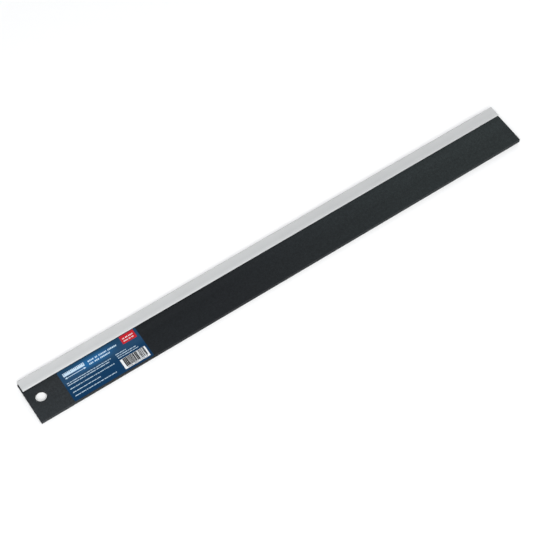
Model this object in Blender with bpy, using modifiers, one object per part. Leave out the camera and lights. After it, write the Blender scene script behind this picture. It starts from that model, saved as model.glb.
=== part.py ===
"""Technician's straight edge, 600 mm long.

A coated steel bar carries a bevel that runs down to a narrow ground working edge.
A plastic U-channel guard pushes on over that edge. The channel is modelled as its
two legs and its back. A printed label sticks to the bar's top face between the
guard and the back edge.

Frame: +X runs from the hanging-hole end to the plain end, +Y points towards the
working edge and +Z points up. The origin is the centre of the footprint, on the
surface that the straight edge lies on. All sizes are in metres.
"""

import math

import bmesh
import bpy
from mathutils import Matrix, Vector

# Bar
BAR_LENGTH = 0.600
BAR_WIDTH = 0.050
BAR_THICKNESS = 0.005
BEVEL_WIDTH = 0.010
NOSE_HEIGHT = 0.0015
EDGE_BREAK = 0.0003
HOLE_DIAMETER = 0.012
HOLE_FROM_END = 0.0136

# Guard
GUARD_LENGTH = 0.599
GUARD_WALL = 0.0012
GUARD_COVER = 0.0118
GUARD_CORNER_RADIUS = 0.0015
GUARD_LIP_BREAK = 0.0002
NOSE_CLEARANCE = 0.0006

# Label
LABEL_LENGTH = 0.0916
LABEL_WIDTH = 0.0374
LABEL_THICKNESS = 0.0002
LABEL_FROM_END = 0.0386
LABEL_FROM_BACK_EDGE = 0.0005

# Space left between faces that touch on the real object.
CONTACT_GAP = 0.0003

# Places worked out from the dimensions.
GUARD_BACK_OFFSET = NOSE_CLEARANCE + GUARD_WALL
TOTAL_WIDTH = BAR_WIDTH + GUARD_BACK_OFFSET
GUARD_HEIGHT = BAR_THICKNESS + 2 * (CONTACT_GAP + GUARD_WALL)
GUARD_DEPTH = GUARD_COVER + GUARD_BACK_OFFSET

HOLE_END_X = -BAR_LENGTH / 2
PLAIN_END_X = BAR_LENGTH / 2
BACK_EDGE_Y = -TOTAL_WIDTH / 2
WORKING_EDGE_Y = BACK_EDGE_Y + BAR_WIDTH
GUARD_MOUTH_Y = WORKING_EDGE_Y - GUARD_COVER
BAR_BOTTOM_Z = GUARD_WALL + CONTACT_GAP
BAR_TOP_Z = BAR_BOTTOM_Z + BAR_THICKNESS

# Measured from the guard's mouth.
GUARD_CORNER_Y = GUARD_DEPTH - GUARD_CORNER_RADIUS
GUARD_BACK_Y = GUARD_DEPTH - GUARD_WALL

HOLE_SEGMENTS = 64
CORNER_STEPS = 6
CUTTER_MARGIN = 0.010


def clear_scene():
    for obj in list(bpy.data.objects):
        bpy.data.objects.remove(obj, do_unlink=True)


def new_collection(name):
    collection = bpy.data.collections.new(name)
    bpy.context.scene.collection.children.link(collection)
    return collection


def new_material(name, colour, roughness, metallic=0.0):
    material = bpy.data.materials.new(name)
    material.use_nodes = True
    shader = material.node_tree.nodes["Principled BSDF"]
    shader.inputs["Base Color"].default_value = (*colour, 1.0)
    shader.inputs["Roughness"].default_value = roughness
    shader.inputs["Metallic"].default_value = metallic
    return material


def new_object(name, bm, location, collection, material=None):
    """An object that takes over bm's mesh. The mesh is in the object's own axes."""
    mesh = bpy.data.meshes.new(name)
    bmesh.ops.recalc_face_normals(bm, faces=bm.faces)
    bm.to_mesh(mesh)
    bm.free()
    if material:
        mesh.materials.append(material)
    obj = bpy.data.objects.new(name, mesh)
    obj.location = location
    collection.objects.link(obj)
    return obj


def block(size):
    """A bmesh box of that size, centred on its own origin."""
    bm = bmesh.new()
    bmesh.ops.create_cube(bm, size=1.0, matrix=Matrix.Diagonal((*size, 1.0)))
    return bm


def new_cutter(name, bm, location, cutters):
    cutter = new_object(name, bm, location, cutters)
    cutter.hide_render = True
    cutter.display_type = "WIRE"
    return cutter


def cut(obj, cutter):
    modifier = obj.modifiers.new(cutter.name, "BOOLEAN")
    modifier.operation = "DIFFERENCE"
    modifier.solver = "EXACT"
    modifier.object = cutter


def break_edges(obj, width, angle_degrees):
    modifier = obj.modifiers.new("edge_break", "BEVEL")
    modifier.width = width
    modifier.segments = 2
    modifier.limit_method = "ANGLE"
    modifier.angle_limit = math.radians(angle_degrees)
    modifier.use_clamp_overlap = False


def bevel_cutter(cutters):
    """A block whose underside lies on the bevel, from the top face down to the nose."""
    drop = BAR_THICKNESS - NOSE_HEIGHT
    slope = math.atan2(drop, BEVEL_WIDTH)
    size = Vector((BAR_LENGTH + 2 * CUTTER_MARGIN, 4 * BEVEL_WIDTH, BAR_THICKNESS))
    bm = block(size)
    bmesh.ops.translate(bm, verts=bm.verts, vec=(0, 0, size.z / 2))
    bmesh.ops.rotate(bm, verts=bm.verts, matrix=Matrix.Rotation(-slope, 3, "X"))
    nose_top = (0, WORKING_EDGE_Y, BAR_BOTTOM_Z + NOSE_HEIGHT)
    return new_cutter("bevel_cutter", bm, nose_top, cutters)


def hole_cutter(cutters):
    bm = bmesh.new()
    radius = HOLE_DIAMETER / 2
    bmesh.ops.create_cone(
        bm,
        cap_ends=True,
        segments=HOLE_SEGMENTS,
        radius1=radius,
        radius2=radius,
        depth=BAR_THICKNESS + 2 * CUTTER_MARGIN,
    )
    centre = (
        HOLE_END_X + HOLE_FROM_END,
        BACK_EDGE_Y + BAR_WIDTH / 2,
        BAR_BOTTOM_Z + BAR_THICKNESS / 2,
    )
    return new_cutter("hole_cutter", bm, centre, cutters)


def build_bar(parts, cutters):
    coating = new_material("black_coating", (0.022, 0.024, 0.027), 0.45)
    bm = block((BAR_LENGTH, BAR_WIDTH, BAR_THICKNESS))
    centre = (0, BACK_EDGE_Y + BAR_WIDTH / 2, BAR_BOTTOM_Z + BAR_THICKNESS / 2)
    bar = new_object("straight_edge_bar", bm, centre, parts, coating)
    cut(bar, bevel_cutter(cutters))
    cut(bar, hole_cutter(cutters))
    break_edges(bar, EDGE_BREAK, 35)
    return bar


def guard_back_outline():
    """The back wall's section, clockwise from its inner top corner.

    The first number is measured from the mouth and the second from halfway up. The
    outer corners are arcs, which start a little inside the wall's own thickness.
    """
    corner_z = GUARD_HEIGHT / 2 - GUARD_CORNER_RADIUS
    inset = GUARD_BACK_Y - GUARD_CORNER_Y
    widest = math.acos(inset / GUARD_CORNER_RADIUS)
    upper = []
    for step in range(CORNER_STEPS + 1):
        angle = widest * (1 - step / CORNER_STEPS)
        y = GUARD_CORNER_Y + GUARD_CORNER_RADIUS * math.cos(angle)
        z = corner_z + GUARD_CORNER_RADIUS * math.sin(angle)
        upper.append((y, z))
    lower = [(y, -z) for y, z in reversed(upper)]
    return upper + lower


def build_guard_leg(name, z, parts, plastic, guard):
    """One flat leg of the channel, from the lip to the start of the corner."""
    size = (GUARD_LENGTH, GUARD_CORNER_Y, GUARD_WALL)
    location = (0, GUARD_CORNER_Y / 2, z)
    leg = new_object(name, block(size), location, parts, plastic)
    leg.parent = guard
    break_edges(leg, GUARD_LIP_BREAK, 35)


def build_guard_back(parts, plastic, guard):
    """The channel's back, with its rounded outer corners."""
    outline = guard_back_outline()
    curve = bpy.data.curves.new("guard_back", "CURVE")
    curve.dimensions = "2D"
    curve.fill_mode = "BOTH"
    curve.extrude = GUARD_LENGTH / 2
    spline = curve.splines.new("POLY")
    spline.points.add(len(outline) - 1)
    for point, (y, z) in zip(spline.points, outline):
        point.co = (y, z, 0, 1)
    spline.use_cyclic_u = True
    curve.materials.append(plastic)
    back = bpy.data.objects.new("guard_back", curve)
    back.rotation_euler = (math.radians(90), 0, math.radians(90))
    back.parent = guard
    parts.objects.link(back)


def build_guard(parts):
    """The guard's pieces, parented to an empty on the line that it slides off along, +Y."""
    plastic = new_material("guard_plastic", (0.58, 0.59, 0.60), 0.40)
    guard = bpy.data.objects.new("edge_guard", None)
    guard.location = (
        PLAIN_END_X - GUARD_LENGTH / 2,
        GUARD_MOUTH_Y,
        BAR_BOTTOM_Z + BAR_THICKNESS / 2,
    )
    parts.objects.link(guard)
    leg_z = (GUARD_HEIGHT - GUARD_WALL) / 2
    build_guard_leg("guard_upper_leg", leg_z, parts, plastic, guard)
    build_guard_leg("guard_lower_leg", -leg_z, parts, plastic, guard)
    build_guard_back(parts, plastic, guard)


def build_label(parts, bar):
    """The label, a thin film parented to the bar."""
    print_finish = new_material("label_print", (0.020, 0.075, 0.190), 0.30)
    bm = block((LABEL_LENGTH, LABEL_WIDTH, LABEL_THICKNESS))
    centre = Vector(
        (
            HOLE_END_X + LABEL_FROM_END + LABEL_LENGTH / 2,
            BACK_EDGE_Y + LABEL_FROM_BACK_EDGE + LABEL_WIDTH / 2,
            BAR_TOP_Z + CONTACT_GAP + LABEL_THICKNESS / 2,
        )
    )
    label = new_object("label", bm, centre - bar.location, parts, print_finish)
    label.parent = bar
    return label


def main():
    clear_scene()
    parts = new_collection("straight_edge")
    cutters = new_collection("cutters")
    bar = build_bar(parts, cutters)
    build_guard(parts)
    build_label(parts, bar)


main()
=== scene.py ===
"""The looks of the technician's straight edge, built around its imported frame.

Each piece takes its place from the boxes of the CAD nodes. Sizes are in metres. The
label's own layout is in millimetres from its corner at the hole end and back edge.
"""

import math
import random

import bmesh
import bpy
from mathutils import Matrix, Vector


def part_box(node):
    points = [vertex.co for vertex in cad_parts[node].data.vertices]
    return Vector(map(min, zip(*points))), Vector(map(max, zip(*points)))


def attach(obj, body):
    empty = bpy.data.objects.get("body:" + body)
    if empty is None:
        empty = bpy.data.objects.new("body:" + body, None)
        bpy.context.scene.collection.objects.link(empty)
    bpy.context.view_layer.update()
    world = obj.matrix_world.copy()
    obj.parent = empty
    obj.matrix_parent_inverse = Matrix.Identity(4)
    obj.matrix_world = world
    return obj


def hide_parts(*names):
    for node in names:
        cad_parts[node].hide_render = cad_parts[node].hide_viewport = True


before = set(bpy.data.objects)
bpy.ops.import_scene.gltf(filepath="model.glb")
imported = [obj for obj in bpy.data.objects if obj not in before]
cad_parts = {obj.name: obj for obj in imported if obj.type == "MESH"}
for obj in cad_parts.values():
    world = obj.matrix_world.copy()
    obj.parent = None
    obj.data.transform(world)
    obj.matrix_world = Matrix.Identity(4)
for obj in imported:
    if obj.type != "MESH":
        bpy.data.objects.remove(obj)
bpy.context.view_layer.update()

BAR_LOW, BAR_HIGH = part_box("straight_edge_bar")
LABEL_LOW, LABEL_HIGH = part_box("label")
LEG_LOW, LEG_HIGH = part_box("guard_upper_leg")
BACK_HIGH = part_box("guard_back")[1]

MM = 0.001

# Camera: turn and tilt in degrees, lens and sensor in millimetres
CAMERA_PLACE = (-0.44961, -0.64256, 1.35648)
CAMERA_TURN = 33.99
CAMERA_TILT = 60.28
CAMERA_LENS = 101.08
CAMERA_SENSOR = 36.0
CAMERA_NEAR = 0.01
CAMERA_FAR = 50

# Studio: each softbox has a name, a place, the point it faces, a side and a power
SOFTBOXES = (
    ("key", (-0.6, -1.2, 2.15), (0, 0, 0), 1.8, 63),
    ("sheen", (1.7, 1.0, 1.9), (0.3, 0, 0), 1.2, 8),
)
WALL_TONE = (1.0, 1.0, 1.0)
CEILING_TONE = (0.14, 0.15, 0.16)

# Floor: each reach is where a glow starts to change and where it stops
FLOOR_HALF_WIDTH = 12
FLOOR_DROP = 0.05 * MM
FLOOR_WHITE = (0.93, 0.93, 0.93)
FLOOR_GLOW = 0.03
FAR_GLOW = 0.60
FAR_REACH = (0.45, 1.6)
# Painted light: the floor glows under the hanging hole, lifting the bar's shade seen through
# it.
HOLE_GLOW = 0.16
HOLE_REACH = (8 * MM, 14 * MM)

# Bar
BEVEL_WIDTH = 10 * MM
NOSE_HEIGHT = 1.5 * MM
GROUND_WIDTH = 0.35 * MM
GROUND_GAP = 0.02 * MM
GROUND_EDGE_RADIUS = 0.06 * MM
BAR_EDGE_RADIUS = 0.25 * MM
HOLE_RADIUS = 6 * MM
HOLE_FROM_END = 13.6 * MM
HOLE_EDGE_RADIUS = 0.12 * MM
HOLE_SIDES = 96
DRILL_LENGTH = 20 * MM
HOLE_CENTRE = (BAR_LOW.x + HOLE_FROM_END, (BAR_LOW.y + BAR_HIGH.y) / 2)

# Guard
GUARD_WALL = 1.2 * MM
GUARD_OUTER_RADIUS = 1.5 * MM
GUARD_INNER_RADIUS = 0.4 * MM
GUARD_LIP_RADIUS = 0.35 * MM
GUARD_LIP_TAPER = 0.45 * MM
GUARD_TAPER_LENGTH = 3.2 * MM
GUARD_STATIONS = 30
GUARD_LIP_STEPS = 4
GUARD_TAPER_STEPS = 10
GUARD_FLAT_STEPS = 6
GUARD_OUTER_STEPS = 12
GUARD_INNER_STEPS = 4
GUARD_INSIDE_STEPS = 10

# Label film and the ink layers on it
FILM_THICKNESS = 0.12 * MM
FILM_BOTTOM = BAR_HIGH.z + 0.02 * MM
FILM_TOP = FILM_BOTTOM + FILM_THICKNESS
INK_THICKNESS = 0.012 * MM
INK_GAP = 0.004 * MM
INK_ROUGHNESS = 0.38
INK_COLOURS = {
    "white": (0.78, 0.80, 0.82),
    "pale": (0.54, 0.70, 0.82),
    "blue": (0.012, 0.046, 0.185),
    "red": (0.50, 0.006, 0.014),
    "black": (0.012, 0.012, 0.014),
}

# Label layout in millimetres: boxes are (x0, x1, y0, y1) and lines are (x0, x1, y)
FILM_CORNER = 0.9
TITLE_GLOW_CENTRE = (37.5, 29.4)
TITLE_GLOW_REACH = (29.0, 7.0)
RULER_BOX = (4.0, 28.2, 28.9, 32.9)
TICK_COUNT = 13
TICK_START = 5.05
TICK_STEP = 1.8
TICK_WIDTH = 0.5
TICK_TOP = 32.85
TICK_LENGTH = 1.4
LONG_TICK_LENGTH = 2.4
LONG_TICK_EVERY = 4
ARROW_SHAPE = (
    (4.0, 26.6),
    (6.4, 25.5),
    (6.4, 26.3),
    (25.8, 26.3),
    (25.8, 25.5),
    (28.2, 26.6),
    (25.8, 27.7),
    (25.8, 26.9),
    (6.4, 26.9),
    (6.4, 27.7),
)
TITLE_LINES = ((32.4, 67.6, 30.9), (32.4, 57.9, 27.5))
BODY_LINES = (
    (2.8, 53.8, 20.9),
    (2.8, 50.6, 18.55),
    (2.8, 54.2, 14.05),
    (3.1, 35.3, 9.4),
    (3.3, 51.3, 4.9),
)
SIDE_LINES = ((59.5, 71.7, 21.5), (59.7, 82.2, 19.15), (59.9, 83.8, 16.85))
TAG_BOX = (72.3, 88.6, 27.5, 37.1)
TAG_LINES = ((74.4, 86.7, 33.2), (74.4, 86.7, 30.2))
BARCODE_PANEL = (60.0, 89.1, 2.15, 14.15)
BARCODE_SPAN = (62.6, 87.6)
BARCODE_RISE = (4.1, 13.95)
BARCODE_BAR_UNIT = 0.36
BARCODE_GAP_UNIT = 0.18
BARCODE_BAR_UNITS = (1, 1, 2, 4)
BARCODE_GAP_UNITS = (1, 1, 1, 3)
DIGIT_LINE = (63.6, 87.0, 3.1)

# Rows of small blocks that stand for print, in the order that they are drawn.
# Each entry has an ink, its lines, a block height, an ink layer, a gap and a slope.
PRINT_BLOCKS = (
    ("pale", TITLE_LINES, 1.64, 0, 0.32, 0.2),
    ("pale", BODY_LINES, 0.82, 0, 0.22, 0.0),
    ("pale", SIDE_LINES, 0.74, 0, 0.22, 0.0),
    ("white", TAG_LINES, 1.2, 1, 0.35, 0.0),
)
DIGIT_HEIGHT = 0.9
DIGIT_GAP = 0.45
PRINT_SEED = 7

# Widths and gaps of blocks are shares of their height. A stem's are shares of its block.
BLOCKS_IN_WORD = (2, 8)
BLOCK_WIDTHS = (0.50, 1.00)
WORD_GAP = 0.75
STEM_CHANCE = 0.3
STEM_WIDTH = 0.3
STEM_RISE = 0.4


# ---------------------------------------------------------------- material helpers


def new_material(name, colour, roughness, metallic=0.0):
    material = bpy.data.materials.new(name)
    material.use_nodes = True
    tree = material.node_tree
    shader = tree.nodes["Principled BSDF"]
    shader.inputs["Base Color"].default_value = (*colour, 1)
    shader.inputs["Roughness"].default_value = roughness
    shader.inputs["Metallic"].default_value = metallic
    return material, shader, tree.nodes, tree.links


def object_coordinates(nodes, links, scale=(1, 1, 1)):
    """Object coordinates, in metres, stretched by scale."""
    coordinates = nodes.new("ShaderNodeTexCoord")
    mapping = nodes.new("ShaderNodeMapping")
    mapping.inputs["Scale"].default_value = scale
    links.new(coordinates.outputs["Object"], mapping.inputs["Vector"])
    return mapping.outputs["Vector"]


def split_axes(nodes, links, vector):
    """The x, y and z sockets of a vector."""
    node = nodes.new("ShaderNodeSeparateXYZ")
    links.new(vector, node.inputs[0])
    return node.outputs["X"], node.outputs["Y"], node.outputs["Z"]


def noise(nodes, links, vector, scale, detail=2.0, roughness=0.5):
    texture = nodes.new("ShaderNodeTexNoise")
    texture.inputs["Scale"].default_value = scale
    texture.inputs["Detail"].default_value = detail
    texture.inputs["Roughness"].default_value = roughness
    links.new(vector, texture.inputs["Vector"])
    return texture.outputs["Fac"]


def ramp(nodes, links, value, stops):
    """A colour ramp through (position, (r, g, b)) stops."""
    node = nodes.new("ShaderNodeValToRGB")
    elements = node.color_ramp.elements
    while len(elements) < len(stops):
        elements.new(0.5)
    for element, (position, colour) in zip(elements, stops):
        element.position = position
        element.color = (*colour, 1)
    links.new(value, node.inputs[0])
    return node.outputs[0]


def remap(nodes, links, value, low, high, to_low, to_high):
    """A value scaled from low..high to to_low..to_high, and held at both ends."""
    node = nodes.new("ShaderNodeMapRange")
    for key, number in zip(
        ("From Min", "From Max", "To Min", "To Max"), (low, high, to_low, to_high)
    ):
        node.inputs[key].default_value = number
    links.new(value, node.inputs["Value"])
    return node.outputs["Result"]


def math_node(nodes, links, operation, *values):
    """A Math node whose inputs are numbers or sockets."""
    node = nodes.new("ShaderNodeMath")
    node.operation = operation
    for socket, value in zip(node.inputs, values):
        if isinstance(value, (int, float)):
            socket.default_value = value
        else:
            links.new(value, socket)
    return node.outputs[0]


def mix_colour(nodes, links, blend, factor, a, b):
    """A Mix node whose inputs are numbers, (r, g, b) colours or sockets."""
    node = nodes.new("ShaderNodeMix")
    node.data_type = "RGBA"
    node.blend_type = blend
    for socket, value in ((node.inputs[0], factor), (node.inputs[6], a), (node.inputs[7], b)):
        if isinstance(value, (int, float)):
            socket.default_value = value
        elif isinstance(value, tuple):
            socket.default_value = (*value, 1)
        else:
            links.new(value, socket)
    return node.outputs[2]


def bump(nodes, links, shader, layers):
    """Stacks (height, strength, distance) layers of bump onto the shader."""
    normal = None
    for height, strength, distance in layers:
        node = nodes.new("ShaderNodeBump")
        node.inputs["Strength"].default_value = strength
        node.inputs["Distance"].default_value = distance
        links.new(height, node.inputs["Height"])
        if normal:
            links.new(normal, node.inputs["Normal"])
        normal = node.outputs["Normal"]
    links.new(normal, shader.inputs["Normal"])


# ---------------------------------------------------------------- camera and studio


def make_camera():
    data = bpy.data.cameras.new("camera")
    data.lens = CAMERA_LENS
    data.sensor_width = CAMERA_SENSOR
    data.clip_start = CAMERA_NEAR
    data.clip_end = CAMERA_FAR
    camera = bpy.data.objects.new("camera", data)
    turn = math.radians(CAMERA_TURN)
    tilt = math.radians(CAMERA_TILT)
    forward = Vector(
        (
            math.sin(turn) * math.cos(tilt),
            math.cos(turn) * math.cos(tilt),
            -math.sin(tilt),
        )
    )
    camera.location = CAMERA_PLACE
    camera.rotation_mode = "QUATERNION"
    camera.rotation_quaternion = forward.to_track_quat("-Z", "Y")
    bpy.context.scene.collection.objects.link(camera)
    bpy.context.scene.camera = camera


def make_softbox(name, place, target, side, power):
    data = bpy.data.lights.new(name, "AREA")
    data.shape = "RECTANGLE"
    data.size = side
    data.size_y = side
    data.energy = power
    light = bpy.data.objects.new(name, data)
    light.location = place
    light.rotation_mode = "QUATERNION"
    aim = Vector(target) - Vector(place)
    light.rotation_quaternion = aim.to_track_quat("-Z", "Y")
    bpy.context.scene.collection.objects.link(light)


def make_studio():
    """A white room with a dimmer ceiling, and the softboxes."""
    world = bpy.data.worlds.new("studio")
    bpy.context.scene.world = world
    world.use_nodes = True
    nodes, links = world.node_tree.nodes, world.node_tree.links
    background = nodes["Background"]
    coordinates = nodes.new("ShaderNodeTexCoord")
    height = split_axes(nodes, links, coordinates.outputs["Generated"])[2]
    tone = ramp(nodes, links, height, [(0.25, WALL_TONE), (0.75, CEILING_TONE)])
    links.new(tone, background.inputs["Color"])
    background.inputs["Strength"].default_value = 1.0
    for softbox in SOFTBOXES:
        make_softbox(*softbox)


def glow_by_distance(nodes, links, centre, reach, near_glow, far_glow):
    """A strength that changes with the distance from an (x, y) centre on the floor."""
    away = nodes.new("ShaderNodeVectorMath")
    away.operation = "DISTANCE"
    links.new(object_coordinates(nodes, links), away.inputs[0])
    away.inputs[1].default_value = (*centre, 0)
    return remap(nodes, links, away.outputs["Value"], *reach, near_glow, far_glow)


def make_floor():
    """A white floor that glows faintly, more far away, and more under the hanging hole as a
    painted pool of light.

    The far glow makes up for the key light, which fades there.
    """
    bm = bmesh.new()
    bmesh.ops.create_grid(bm, x_segments=1, y_segments=1, size=FLOOR_HALF_WIDTH)
    mesh = bpy.data.meshes.new("floor")
    bm.to_mesh(mesh)
    bm.free()
    floor = bpy.data.objects.new("floor", mesh)
    floor.location = (0, 0, -FLOOR_DROP)
    material, shader, nodes, links = new_material("floor_white", FLOOR_WHITE, 0.9)
    shader.inputs["Specular IOR Level"].default_value = 0.0
    # A painted pool of light under the hanging hole, which lifts the bar's shade there.
    hole_glow = glow_by_distance(nodes, links, HOLE_CENTRE, HOLE_REACH, HOLE_GLOW, FLOOR_GLOW)
    far_glow = glow_by_distance(nodes, links, (0, 0), FAR_REACH, FLOOR_GLOW, FAR_GLOW)
    glow = math_node(nodes, links, "MAXIMUM", hole_glow, far_glow)
    shader.inputs["Emission Color"].default_value = (1, 1, 1, 1)
    links.new(glow, shader.inputs["Emission Strength"])
    mesh.materials.append(material)
    bpy.context.scene.collection.objects.link(floor)


# ---------------------------------------------------------------- materials


def coat_painted_sheen(nodes, links, x, y):
    """Painted sheen on the coating, as a colour along the bar, and a factor of painted light.

    The colour, lighter at both ends than in the middle, is a painted sheen. The factor acts
    near the guard's lip: darker at the hole end and lighter at the other, painted shade and
    a painted highlight.
    """
    along = remap(nodes, links, x, BAR_LOW.x, BAR_HIGH.x, 0.0, 1.0)
    # Painted sheen: the coat is lighter at both ends and darkest between a fifth and two
    # fifths along.
    stops = [
        (0.06, (0.0210, 0.0250, 0.0280)),
        (0.22, (0.0084, 0.0106, 0.0128)),
        (0.40, (0.0082, 0.0100, 0.0120)),
        (0.75, (0.0146, 0.0190, 0.0202)),
        (0.95, (0.0170, 0.0220, 0.0228)),
    ]
    # Painted light near the guard's lip: painted shade at the hole end, a painted highlight
    # at the other end.
    start, end = LEG_LOW.y - 20 * MM, LEG_LOW.y - 10 * MM
    lip_painted_light_mask = remap(nodes, links, y, start, end, 0.0, 1.0)
    start, end = BAR_LOW.x + 100 * MM, BAR_LOW.x + 360 * MM
    change = remap(nodes, links, x, start, end, -0.23, 0.22)
    change = math_node(nodes, links, "MULTIPLY", lip_painted_light_mask, change)
    factor = math_node(nodes, links, "ADD", change, 1.0)
    return ramp(nodes, links, along, stops), factor


def powder_coat():
    """Satin black powder coat: a fine pebble, a slower orange peel and faint mottling, over a
    painted sheen.
    """
    material, shader, nodes, links = new_material("powder_coat", (0.01, 0.01, 0.01), 0.5)
    vector = object_coordinates(nodes, links)
    x, y, _ = split_axes(nodes, links, vector)
    pebble = noise(nodes, links, vector, 1300, 1.0, 0.4)
    peel = noise(nodes, links, vector, 380)
    mottle = noise(nodes, links, vector, 330, 3.0, 0.6)

    # The coat's colour carries the painted sheen along the bar and the painted light and
    # shade by the guard's lip.
    tone, depth = coat_painted_sheen(nodes, links, x, y)
    for texture, low, high in ((mottle, 0.30, 0.70), (pebble, 0.35, 0.65)):
        speckle = remap(nodes, links, texture, low, high, 0.84, 1.16)
        depth = math_node(nodes, links, "MULTIPLY", depth, speckle)
    colour = mix_colour(nodes, links, "MULTIPLY", 1.0, tone, depth)
    links.new(colour, shader.inputs["Base Color"])

    rough = remap(nodes, links, pebble, 0.3, 0.7, 0.74, 0.62)
    reach = math_node(nodes, links, "ABSOLUTE", x)
    start, end = BAR_HIGH.x - 0.4 * MM, BAR_HIGH.x - 0.1 * MM
    cut_end = remap(nodes, links, reach, start, end, 0.0, 0.3)
    rough = math_node(nodes, links, "ADD", rough, cut_end)
    links.new(rough, shader.inputs["Roughness"])
    shader.inputs["IOR"].default_value = 1.28
    bump(nodes, links, shader, [(peel, 0.25, 0.12 * MM), (pebble, 1.00, 0.18 * MM)])
    return material


def ground_steel():
    """Bare steel, ground lengthwise."""
    material, shader, nodes, links = new_material("ground_steel", (0.5, 0.49, 0.47), 0.3, 1.0)
    vector = object_coordinates(nodes, links, (12, 2500, 2500))
    lines = noise(nodes, links, vector, 1.0, 3.0, 0.7)
    stops = [(0.25, (0.40, 0.39, 0.375)), (0.75, (0.58, 0.57, 0.55))]
    links.new(ramp(nodes, links, lines, stops), shader.inputs["Base Color"])
    rough = remap(nodes, links, lines, 0.2, 0.8, 0.22, 0.42)
    links.new(rough, shader.inputs["Roughness"])
    bump(nodes, links, shader, [(lines, 0.35, 0.02 * MM)])
    return material


def guard_plastic():
    """Light grey extruded plastic with faint lengthwise lines, and painted light: a highlight
    at its lip, lighter again towards its back and lighter at the hole end.
    """
    material, shader, nodes, links = new_material("guard_plastic", (0.5, 0.5, 0.5), 0.4)
    plain = object_coordinates(nodes, links)
    x, y, _ = split_axes(nodes, links, plain)
    drawn = object_coordinates(nodes, links, (5, 1600, 1600))
    lines = noise(nodes, links, drawn, 1.0, 3.0, 0.6)
    cloud = noise(nodes, links, plain, 28, 3.0)
    grain = noise(nodes, links, plain, 2200)

    # Painted light across the guard: a highlight along the lip, darkest a little behind it
    # and lighter again towards the back.
    across = remap(nodes, links, y, LEG_LOW.y, BACK_HIGH.y, 0.0, 1.0)
    stops = [
        (0.06, (0.570, 0.576, 0.578)),
        (0.13, (0.516, 0.524, 0.528)),
        (0.32, (0.500, 0.508, 0.512)),
        (0.88, (0.540, 0.544, 0.546)),
    ]
    tone = ramp(nodes, links, across, stops)
    cloud_tone = remap(nodes, links, cloud, 0.30, 0.70, 0.98, 1.02)
    # Painted light along the guard: lighter at the hole end, darker further along.
    painted_light_along = remap(nodes, links, x, BAR_LOW.x, 100 * MM, 1.03, 0.94)
    depth = math_node(nodes, links, "MULTIPLY", cloud_tone, painted_light_along)
    colour = mix_colour(nodes, links, "MULTIPLY", 1.0, tone, depth)
    links.new(colour, shader.inputs["Base Color"])

    rough = remap(nodes, links, lines, 0.3, 0.7, 0.34, 0.46)
    links.new(rough, shader.inputs["Roughness"])
    bump(nodes, links, shader, [(lines, 0.35, 0.06 * MM), (grain, 0.15, 0.03 * MM)])
    return material


def title_glow(nodes, links, x, y):
    """A soft patch behind the titles, 1 at its middle and 0 outside."""
    shares = []
    for socket, low, centre, reach in zip(
        (x, y), (LABEL_LOW.x, LABEL_LOW.y), TITLE_GLOW_CENTRE, TITLE_GLOW_REACH
    ):
        away = math_node(nodes, links, "SUBTRACT", socket, low + centre * MM)
        size = math_node(nodes, links, "ABSOLUTE", away)
        shares.append(remap(nodes, links, size, 0.25 * reach * MM, reach * MM, 1.0, 0.0))
    return math_node(nodes, links, "MULTIPLY", *shares)


def label_film():
    """Dark blue printed film, lighter in its upper part and most behind the titles, with
    painted shade along its top edge beside the guard's lip.
    """
    material, shader, nodes, links = new_material("label_film", (0.01, 0.04, 0.10), 0.3)
    vector = object_coordinates(nodes, links)
    x, y, _ = split_axes(nodes, links, vector)
    across = remap(nodes, links, y, LABEL_LOW.y, LABEL_HIGH.y, 0.0, 1.0)
    stops = [
        (0.05, (0.0020, 0.0310, 0.0880)),
        (0.45, (0.0035, 0.0350, 0.0920)),
        (0.62, (0.0150, 0.0540, 0.1170)),
        (0.80, (0.0140, 0.0540, 0.1180)),
        # Painted shade: the film darkens again at its top edge, beside the guard's lip.
        (0.98, (0.0085, 0.0440, 0.0940)),
    ]
    field = ramp(nodes, links, across, stops)
    glow = title_glow(nodes, links, x, y)
    lit = mix_colour(nodes, links, "MIX", glow, field, (0.0140, 0.1150, 0.2900))
    grain = noise(nodes, links, vector, 900, 3.0)
    speckle = remap(nodes, links, grain, 0.25, 0.75, 0.90, 1.10)
    shaded = mix_colour(nodes, links, "MULTIPLY", 1.0, lit, speckle)
    links.new(shaded, shader.inputs["Base Color"])

    rough = remap(nodes, links, grain, 0.3, 0.7, 0.34, 0.42)
    links.new(rough, shader.inputs["Roughness"])
    shader.inputs["IOR"].default_value = 1.28
    ripple = noise(nodes, links, vector, 60)
    bump(nodes, links, shader, [(ripple, 0.10, 0.10 * MM), (grain, 0.05, 0.01 * MM)])
    return material


def ink(name, colour):
    """Printed ink, a little uneven in tone."""
    material, shader, nodes, links = new_material(name, colour, INK_ROUGHNESS)
    grain = noise(nodes, links, object_coordinates(nodes, links), 1400)
    dark = tuple(0.90 * part for part in colour)
    tone = ramp(nodes, links, grain, [(0.35, dark), (0.65, colour)])
    links.new(tone, shader.inputs["Base Color"])
    low, high = INK_ROUGHNESS - 0.04, INK_ROUGHNESS + 0.04
    rough = remap(nodes, links, grain, 0.3, 0.7, low, high)
    links.new(rough, shader.inputs["Roughness"])
    bump(nodes, links, shader, [(grain, 0.05, 0.01 * MM)])
    return material


# ---------------------------------------------------------------- mesh helpers


def new_piece(name, bm, material, smooth_degrees=30):
    """An object that takes over bm's mesh, smooth apart from its sharp edges."""
    bmesh.ops.recalc_face_normals(bm, faces=bm.faces)
    mesh = bpy.data.meshes.new(name)
    bm.to_mesh(mesh)
    bm.free()
    mesh.materials.append(material)
    mesh.shade_smooth()
    mesh.set_sharp_from_angle(angle=math.radians(smooth_degrees))
    piece = bpy.data.objects.new(name, mesh)
    bpy.context.scene.collection.objects.link(piece)
    return piece


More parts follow.
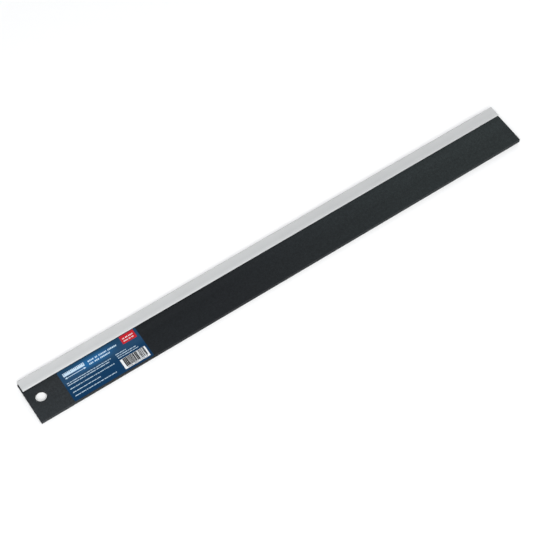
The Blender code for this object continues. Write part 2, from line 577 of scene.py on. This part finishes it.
def prism(outline, low_x, high_x):
    """A closed (y, z) outline drawn out along X."""
    bm = bmesh.new()
    face = bm.faces.new([bm.verts.new((low_x, y, z)) for y, z in outline])
    drawn = bmesh.ops.extrude_face_region(bm, geom=[face])["geom"]
    far = [item for item in drawn if isinstance(item, bmesh.types.BMVert)]
    bmesh.ops.translate(bm, verts=far, vec=(high_x - low_x, 0, 0))
    return bm


def join_loops(bm, near, far):
    """A band of faces between two loops with the same number of vertices."""
    for k in range(len(near)):
        n = (k + 1) % len(near)
        bm.faces.new((near[k], near[n], far[n], far[k]))


def add_bevel(piece, width, segments, degrees):
    modifier = piece.modifiers.new("bevel", "BEVEL")
    modifier.width = width
    modifier.segments = segments
    modifier.limit_method = "ANGLE"
    modifier.angle_limit = math.radians(degrees)
    modifier.use_clamp_overlap = False
    modifier.harden_normals = True


def bake_modifiers(piece):
    """Gives the piece its evaluated mesh, with no modifiers left."""
    graph = bpy.context.evaluated_depsgraph_get()
    mesh = bpy.data.meshes.new_from_object(piece.evaluated_get(graph))
    old = piece.data
    piece.modifiers.clear()
    piece.data = mesh
    mesh.name = piece.name
    bpy.data.meshes.remove(old)


def arc(centre, radius, start, end, steps):
    """Points of an arc round a centre in the same two axes, angles in degrees."""
    points = []
    for step in range(steps + 1):
        angle = math.radians(start + (end - start) * step / steps)
        across = centre[0] + radius * math.cos(angle)
        up = centre[1] + radius * math.sin(angle)
        points.append((across, up))
    return points


# ---------------------------------------------------------------- bar


def bevel_height(y):
    """Height of the bevelled top above the floor, y measured in the frame."""
    share = (BAR_HIGH.y - y) / BEVEL_WIDTH
    top = BAR_HIGH.z - BAR_LOW.z
    return BAR_LOW.z + NOSE_HEIGHT + share * (top - NOSE_HEIGHT)


def make_coated_bar(coat, seam):
    """The coated body, from the back edge to the seam, with its hanging hole."""
    outline = [
        (BAR_LOW.y, BAR_LOW.z),
        (seam, BAR_LOW.z),
        (seam, bevel_height(seam)),
        (BAR_HIGH.y - BEVEL_WIDTH, BAR_HIGH.z),
        (BAR_LOW.y, BAR_HIGH.z),
    ]
    bar = new_piece("coated_bar", prism(outline, BAR_LOW.x, BAR_HIGH.x), coat)
    drill = bmesh.new()
    bmesh.ops.create_cone(
        drill,
        cap_ends=True,
        segments=HOLE_SIDES,
        radius1=HOLE_RADIUS,
        radius2=HOLE_RADIUS,
        depth=DRILL_LENGTH,
    )
    cutter = new_piece("hole_cutter", drill, coat)
    cutter.location = (*HOLE_CENTRE, (BAR_LOW.z + BAR_HIGH.z) / 2)
    add_bevel(bar, BAR_EDGE_RADIUS, 3, 35)
    hole = bar.modifiers.new("hole", "BOOLEAN")
    hole.operation = "DIFFERENCE"
    hole.solver = "EXACT"
    hole.object = cutter
    add_bevel(bar, HOLE_EDGE_RADIUS, 2, 60)
    bake_modifiers(bar)
    bpy.data.objects.remove(cutter)
    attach(bar, "bar")
    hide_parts("straight_edge_bar")


def make_ground_edge(steel, seam):
    """The bare working edge, a hair past the seam."""
    near = seam + GROUND_GAP
    outline = [
        (near, BAR_LOW.z),
        (BAR_HIGH.y, BAR_LOW.z),
        (BAR_HIGH.y, BAR_LOW.z + NOSE_HEIGHT),
        (near, bevel_height(near)),
    ]
    nose = new_piece("ground_edge", prism(outline, BAR_LOW.x, BAR_HIGH.x), steel)
    add_bevel(nose, GROUND_EDGE_RADIUS, 2, 35)
    bake_modifiers(nose)
    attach(nose, "bar")


def make_bar(coat, steel):
    seam = BAR_HIGH.y - GROUND_WIDTH
    make_coated_bar(coat, seam)
    make_ground_edge(steel, seam)


# ---------------------------------------------------------------- guard


def guard_section():
    """The channel's closed outline, from the upper lip round the outside and back.

    The legs thin a little towards the lips, so their outer faces curve in there.
    """
    mouth = LEG_LOW.y
    back = BACK_HIGH.y
    top = LEG_HIGH.z
    inner_top = top - GUARD_WALL
    inner_back = back - GUARD_WALL
    lip = GUARD_LIP_RADIUS
    outer = GUARD_OUTER_RADIUS
    inner = GUARD_INNER_RADIUS
    lip_top = top - GUARD_LIP_TAPER
    upper = arc((mouth + lip, inner_top + lip), lip, 270, 180, GUARD_LIP_STEPS)
    upper += arc((mouth + lip, lip_top - lip), lip, 180, 105, GUARD_LIP_STEPS)
    for step in range(1, GUARD_TAPER_STEPS + 1):
        share = step / GUARD_TAPER_STEPS
        y = mouth + lip + GUARD_TAPER_LENGTH * share
        upper.append((y, top - GUARD_LIP_TAPER * (1 - share) ** 2))
    flat_start = mouth + lip + GUARD_TAPER_LENGTH
    flat = back - outer - flat_start
    for k in range(1, GUARD_FLAT_STEPS):
        upper.append((flat_start + flat * k / GUARD_FLAT_STEPS, top))
    upper += arc((back - outer, top - outer), outer, 90, 0, GUARD_OUTER_STEPS)
    lower = [(y, top - z) for y, z in reversed(upper)]
    straight = inner_back - inner - mouth - lip
    run = []
    for k in range(1, GUARD_INSIDE_STEPS):
        run.append(mouth + lip + straight * k / GUARD_INSIDE_STEPS)
    inside = [(y, top - inner_top) for y in run]
    corner = inner_back - inner
    low_corner = (corner, top - inner_top + inner)
    high_corner = (corner, inner_top - inner)
    inside += arc(low_corner, inner, 270, 360, GUARD_INNER_STEPS)
    inside += arc(high_corner, inner, 0, 90, GUARD_INNER_STEPS)
    inside += [(y, inner_top) for y in reversed(run)]
    return upper + lower + inside


def make_guard(plastic):
    section = guard_section()
    bm = bmesh.new()
    rings = []
    for station in range(GUARD_STATIONS + 1):
        x = LEG_LOW.x + (LEG_HIGH.x - LEG_LOW.x) * station / GUARD_STATIONS
        rings.append([bm.verts.new((x, y, z)) for y, z in section])
    for near, far in zip(rings, rings[1:]):
        join_loops(bm, near, far)
    bm.faces.new(rings[0])
    bm.faces.new(rings[-1])
    guard = new_piece("edge_guard", bm, plastic, 40)
    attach(guard, "guard")
    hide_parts("guard_upper_leg", "guard_back", "guard_lower_leg")


# ---------------------------------------------------------------- label


def label_verts(bm, points, z):
    """New vertices at height z, from points of the label's layout."""
    corner = Vector((LABEL_LOW.x, LABEL_LOW.y, z))
    return [bm.verts.new(corner + Vector((x * MM, y * MM, 0))) for x, y in points]


def slab(bm, points, low_z, high_z):
    """A flat closed shape on the label."""
    low = label_verts(bm, points, low_z)
    high = label_verts(bm, points, high_z)
    bm.faces.new(list(reversed(low)))
    bm.faces.new(high)
    join_loops(bm, low, high)


def layer(level):
    """Lowest and highest z of an ink layer: 0 is on the film, 1 is on top of that."""
    low = FILM_TOP + INK_GAP + level * (INK_THICKNESS + INK_GAP)
    return low, low + INK_THICKNESS


def box_shape(x0, x1, y0, y1, slope=0.0):
    """A rectangle's corners, leaning by slope as printed italics do."""
    over = slope * (y1 - y0)
    return [(x0, y0), (x1, y0), (x1 + over, y1), (x0 + over, y1)]


def stemmed_shape(x0, x1, y0, y1):
    """A rectangle with a narrow stem that rises above its left side."""
    stem = x0 + STEM_WIDTH * (x1 - x0)
    top = y1 + STEM_RISE * (y1 - y0)
    return [(x0, y0), (x1, y0), (x1, y1), (stem, y1), (stem, top), (x0, top)]


def rounded_shape(x0, x1, y0, y1, radius):
    """A rectangle with round corners, anticlockwise."""
    points = []
    corners = (
        (x1 - radius, y0 + radius, 270),
        (x1 - radius, y1 - radius, 0),
        (x0 + radius, y1 - radius, 90),
        (x0 + radius, y0 + radius, 180),
    )
    for x, y, start in corners:
        points += arc((x, y), radius, start, start + 90, 5)
    return points


def greeked_line(bm, rng, x0, x1, centre, height, level, gap, slope=0.0):
    """A line of small blocks that stands for print, in word-like runs."""
    low = centre - height / 2
    x = x0
    while x < x1 - height / 2:
        for _ in range(rng.randint(*BLOCKS_IN_WORD)):
            width = height * rng.uniform(*BLOCK_WIDTHS)
            if x + width > x1:
                x = x1
                break
            if slope == 0 and rng.random() < STEM_CHANCE:
                shape = stemmed_shape(x, x + width, low, low + height)
            else:
                shape = box_shape(x, x + width, low, low + height, slope)
            slab(bm, shape, *layer(level))
            x += width + gap * height
        x += WORD_GAP * height


def make_emblem(pale, blue):
    """A plain ruler with a dimension arrow under it: a generic pictogram."""
    slab(pale, box_shape(*RULER_BOX), *layer(0))
    for k in range(TICK_COUNT):
        x = TICK_START + TICK_STEP * k
        length = TICK_LENGTH if k % LONG_TICK_EVERY else LONG_TICK_LENGTH
        slab(blue, box_shape(x, x + TICK_WIDTH, TICK_TOP - length, TICK_TOP), *layer(1))
    slab(pale, ARROW_SHAPE, *layer(0))


def make_barcode(rng, white, black):
    """A run of bars of random widths, with a row of small blocks under it."""
    slab(white, box_shape(*BARCODE_PANEL), *layer(0))
    x, end = BARCODE_SPAN
    while x < end:
        width = BARCODE_BAR_UNIT * rng.choice(BARCODE_BAR_UNITS)
        slab(black, box_shape(x, min(x + width, end), *BARCODE_RISE), *layer(1))
        x += width + BARCODE_GAP_UNIT * rng.choice(BARCODE_GAP_UNITS)
    greeked_line(black, rng, *DIGIT_LINE, DIGIT_HEIGHT, 1, DIGIT_GAP)


def make_label(film_material, inks):
    width = (LABEL_HIGH.x - LABEL_LOW.x) / MM
    height = (LABEL_HIGH.y - LABEL_LOW.y) / MM
    bm = bmesh.new()
    slab(bm, rounded_shape(0, width, 0, height, FILM_CORNER), FILM_BOTTOM, FILM_TOP)
    film = new_piece("label_film", bm, film_material)
    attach(film, "bar")
    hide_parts("label")

    rng = random.Random(PRINT_SEED)
    print_of = {name: bmesh.new() for name in inks}
    make_emblem(print_of["pale"], print_of["blue"])
    slab(print_of["red"], box_shape(*TAG_BOX), *layer(0))
    for name, lines, size, level, gap, slope in PRINT_BLOCKS:
        for line in lines:
            greeked_line(print_of[name], rng, *line, size, level, gap, slope)
    make_barcode(rng, print_of["white"], print_of["black"])

    for name, material in inks.items():
        piece = new_piece("label_" + name + "_print", print_of[name], material)
        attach(piece, "bar")


# ---------------------------------------------------------------- build

bpy.context.scene.view_settings.view_transform = "Standard"
make_camera()
make_studio()
make_floor()
make_bar(powder_coat(), ground_steel())
make_guard(guard_plastic())
make_label(
    label_film(),
    {name: ink(name + "_ink", colour) for name, colour in INK_COLOURS.items()},
)
